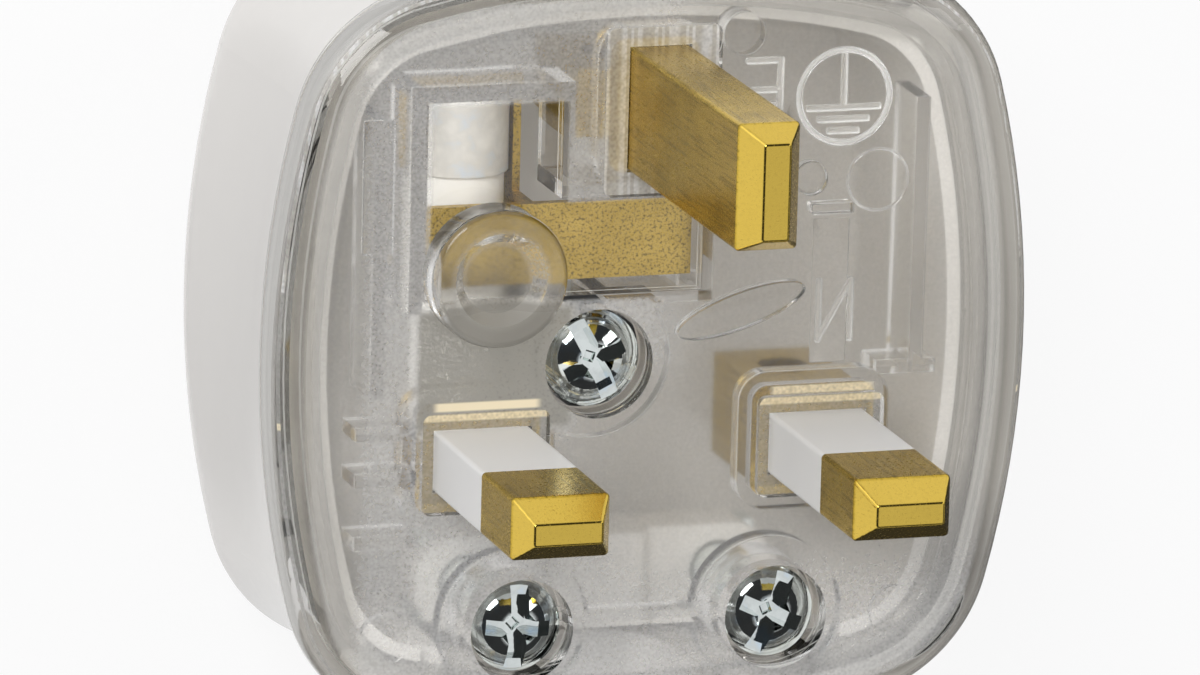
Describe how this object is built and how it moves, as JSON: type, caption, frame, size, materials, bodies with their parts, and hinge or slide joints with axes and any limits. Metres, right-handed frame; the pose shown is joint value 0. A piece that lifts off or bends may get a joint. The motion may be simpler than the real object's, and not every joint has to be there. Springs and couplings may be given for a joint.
{
  "type": "uk three pin plug",
  "caption": "Rewireable UK three pin mains plug with a clear front base, white rear cover, sleeved live pins, fuse and strip terminal under a window, and a cord clamp",
  "frame": {"origin": "The middle of the back of the rear cover, which is the bottom of the part's box: the plug lies on its back.", "axes": "+Z is the way the pins point. +Y goes from the line and neutral pins towards the earth pin, and the cord leaves along -Y. +X goes from the line pin to the neutral pin, as seen from the pin side."},
  "size_m": [0.0506, 0.0516, 0.0482],
  "materials": {
    "clear_plastic": "clear, finely frosted face",
    "white_plastic": "satin",
    "pin_brass": "tumbled, satin",
    "sleeve_plastic": "satin",
    "fuse_ceramic": "glazed ceramic",
    "fuse_cap_nickel": "nickel plated",
    "fuse_wire": "bright wire",
    "strip_brass": "rolled strip",
    "screw_steel": "zinc plated",
    "retainer_plastic": "matt",
    "clamp_plastic": "satin"
  },
  "bodies": {
    "root": {"front_base": "clear_plastic", "rear_cover": "white_plastic", "earth_pin": "pin_brass", "neutral_pin": "pin_brass", "line_pin": "pin_brass", "neutral_pin_sleeve": "sleeve_plastic", "line_pin_sleeve": "sleeve_plastic", "fuse_barrel": "fuse_ceramic", "fuse_cap_upper": "fuse_cap_nickel", "fuse_cap_lower": "fuse_cap_nickel", "fuse_element": "fuse_wire", "line_fuse_clip": "strip_brass", "line_terminal_strap": "strip_brass", "line_terminal_block": "pin_brass", "earth_terminal_screw": "screw_steel", "neutral_terminal_screw": "screw_steel", "line_terminal_screw": "screw_steel", "cover_screw": "screw_steel", "cover_screw_insert": "strip_brass", "cover_screw_retainer": "retainer_plastic", "cord_clamp_bar": "clamp_plastic", "cord_clamp_screw_left": "screw_steel", "cord_clamp_screw_right": "screw_steel", "cord_clamp_nut_left": "screw_steel", "cord_clamp_nut_right": "screw_steel"}
  },
  "joints": []
}
